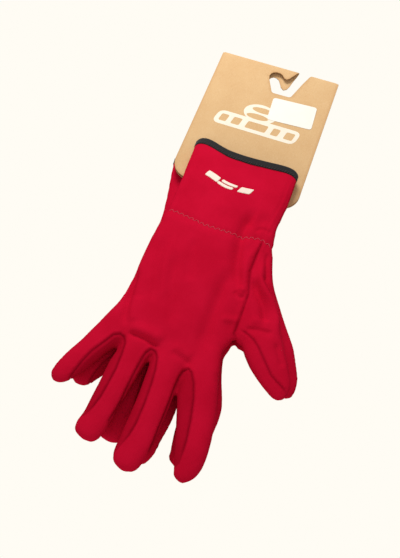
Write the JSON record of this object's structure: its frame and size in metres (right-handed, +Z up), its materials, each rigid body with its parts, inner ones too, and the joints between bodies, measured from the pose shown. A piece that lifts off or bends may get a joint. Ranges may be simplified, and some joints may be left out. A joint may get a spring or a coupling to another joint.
{
  "type": "riding gloves",
  "caption": "Pair of red knitted riding gloves, right in front of left, palm to palm on a folded card with a peg slot.",
  "frame": {"origin": "top of the back panel's peg pocket, midway between the card's two panels", "axes": "+Z up, the way the card hangs; +X towards the thumbs; +Y from the right glove's side of the card to the left glove's"},
  "size_m": [0.157, 0.0304, 0.3414],
  "materials": {
    "red_knit": "fine stretch knit, soft sheen",
    "red_knit_side": "fine stretch knit, finger side strips",
    "black_binding": "ribbed elastic binding tape",
    "elastic": "woven elastic",
    "cuff_print": "heat-transfer film",
    "tag_pin": "clear plastic",
    "kraft_board": "unbleached solid board",
    "label_paper": "coated label"
  },
  "bodies": {
    "card_back": {"card_back_panel": "kraft_board"},
    "card_front": {"card_front_panel": "kraft_board", "price_label": "label_paper"},
    "right_hand": {"right_hand_back": "red_knit", "right_hand_palm": "red_knit", "right_cuff_back": "red_knit", "right_cuff_palm": "red_knit", "right_wrist_elastic": "elastic", "right_hem_binding_back": "black_binding", "right_hem_binding_palm": "black_binding", "right_cuff_print": "cuff_print", "right_tag_pin": "tag_pin"},
    "right_pinky": {"right_pinky_back": "red_knit", "right_pinky_palm": "red_knit", "right_pinky_fourchette_thumb_side": "red_knit_side"},
    "right_ring": {"right_ring_back": "red_knit", "right_ring_palm": "red_knit", "right_ring_fourchette_pinky_side": "red_knit_side", "right_ring_fourchette_thumb_side": "red_knit_side"},
    "right_middle": {"right_middle_back": "red_knit", "right_middle_palm": "red_knit", "right_middle_fourchette_pinky_side": "red_knit_side", "right_middle_fourchette_thumb_side": "red_knit_side"},
    "right_index": {"right_index_back": "red_knit", "right_index_palm": "red_knit", "right_index_fourchette_pinky_side": "red_knit_side"},
    "right_thumb": {"right_thumb_back": "red_knit", "right_thumb_palm": "red_knit"},
    "left_hand": {"left_hand_back": "red_knit", "left_hand_palm": "red_knit", "left_cuff_back": "red_knit", "left_cuff_palm": "red_knit", "left_wrist_elastic": "elastic", "left_hem_binding_back": "black_binding", "left_hem_binding_palm": "black_binding", "left_cuff_print": "cuff_print", "left_tag_pin": "tag_pin"},
    "left_pinky": {"left_pinky_back": "red_knit", "left_pinky_palm": "red_knit", "left_pinky_fourchette_thumb_side": "red_knit_side"},
    "left_ring": {"left_ring_back": "red_knit", "left_ring_palm": "red_knit", "left_ring_fourchette_pinky_side": "red_knit_side", "left_ring_fourchette_thumb_side": "red_knit_side"},
    "left_middle": {"left_middle_back": "red_knit", "left_middle_palm": "red_knit", "left_middle_fourchette_pinky_side": "red_knit_side", "left_middle_fourchette_thumb_side": "red_knit_side"},
    "left_index": {"left_index_back": "red_knit", "left_index_palm": "red_knit", "left_index_fourchette_pinky_side": "red_knit_side"},
    "left_thumb": {"left_thumb_back": "red_knit", "left_thumb_palm": "red_knit"}
  },
  "joints": [
    {"name": "card_fold", "type": "hinge", "parent": "card_back", "child": "card_front", "pos_m": [0, -0.0018, 0.00705], "axis": [-1, 0, 0], "range_deg": [0, 100]},
    {"name": "right_glove_swivel", "type": "hinge", "parent": "card_front", "child": "right_hand", "pos_m": [0.0063, -0.0018, -0.099], "axis": [0, 1, 0], "range_deg": [-15, 15]},
    {"name": "right_pinky_bend", "type": "hinge", "parent": "right_hand", "child": "right_pinky", "pos_m": [-0.03775, -0.01515, -0.253], "axis": [-0.8797, 0, 0.4755], "range_deg": [0, 45], "stiffness_Nm_per_rad": 0.01, "springref_deg": -2.86},
    {"name": "right_ring_bend", "type": "hinge", "parent": "right_hand", "child": "right_ring", "pos_m": [-0.01725, -0.01515, -0.26], "axis": [-0.9846, 0, 0.175], "range_deg": [0, 45], "stiffness_Nm_per_rad": 0.01, "springref_deg": -2.86},
    {"name": "right_middle_bend", "type": "hinge", "parent": "right_hand", "child": "right_middle", "pos_m": [0.0057, -0.01515, -0.2635], "axis": [-0.9919, 0, 0.1272], "range_deg": [0, 45], "stiffness_Nm_per_rad": 0.01, "springref_deg": -2.86},
    {"name": "right_index_bend", "type": "hinge", "parent": "right_hand", "child": "right_index", "pos_m": [0.03095, -0.01515, -0.26325], "axis": [-0.9918, 0, -0.1281], "range_deg": [0, 45], "stiffness_Nm_per_rad": 0.01, "springref_deg": -2.86},
    {"name": "right_thumb_bend", "type": "hinge", "parent": "right_hand", "child": "right_thumb", "pos_m": [0.04, -0.01515, -0.1931], "axis": [0.0547, 0, -0.9985], "range_deg": [0, 40], "stiffness_Nm_per_rad": 0.01, "springref_deg": -2.86},
    {"name": "left_glove_swivel", "type": "hinge", "parent": "card_back", "child": "left_hand", "pos_m": [0.00472, 0.0018, -0.1072], "axis": [0, 1, 0], "range_deg": [-15, 15]},
    {"name": "left_pinky_bend", "type": "hinge", "parent": "left_hand", "child": "left_pinky", "pos_m": [-0.03519, 0.01515, -0.25916], "axis": [0.9171, 0, -0.3986], "range_deg": [0, 45], "stiffness_Nm_per_rad": 0.01, "springref_deg": -2.86},
    {"name": "left_ring_bend", "type": "hinge", "parent": "left_hand", "child": "left_ring", "pos_m": [-0.01417, 0.01515, -0.26439], "axis": [0.9959, 0, -0.0903], "range_deg": [0, 45], "stiffness_Nm_per_rad": 0.01, "springref_deg": -2.86},
    {"name": "left_middle_bend", "type": "hinge", "parent": "left_hand", "child": "left_middle", "pos_m": [0.009, 0.01515, -0.26591], "axis": [0.9991, 0, -0.042], "range_deg": [0, 45], "stiffness_Nm_per_rad": 0.01, "springref_deg": -2.86},
    {"name": "left_index_bend", "type": "hinge", "parent": "left_hand", "child": "left_index", "pos_m": [0.03413, 0.01515, -0.26351], "axis": [0.9772, 0, 0.2123], "range_deg": [0, 45], "stiffness_Nm_per_rad": 0.01, "springref_deg": -2.86},
    {"name": "left_thumb_bend", "type": "hinge", "parent": "left_hand", "child": "left_thumb", "pos_m": [0.03716, 0.01515, -0.19284], "axis": [-0.1398, 0, 0.9902], "range_deg": [0, 40], "stiffness_Nm_per_rad": 0.01, "springref_deg": -2.86}
  ]
}
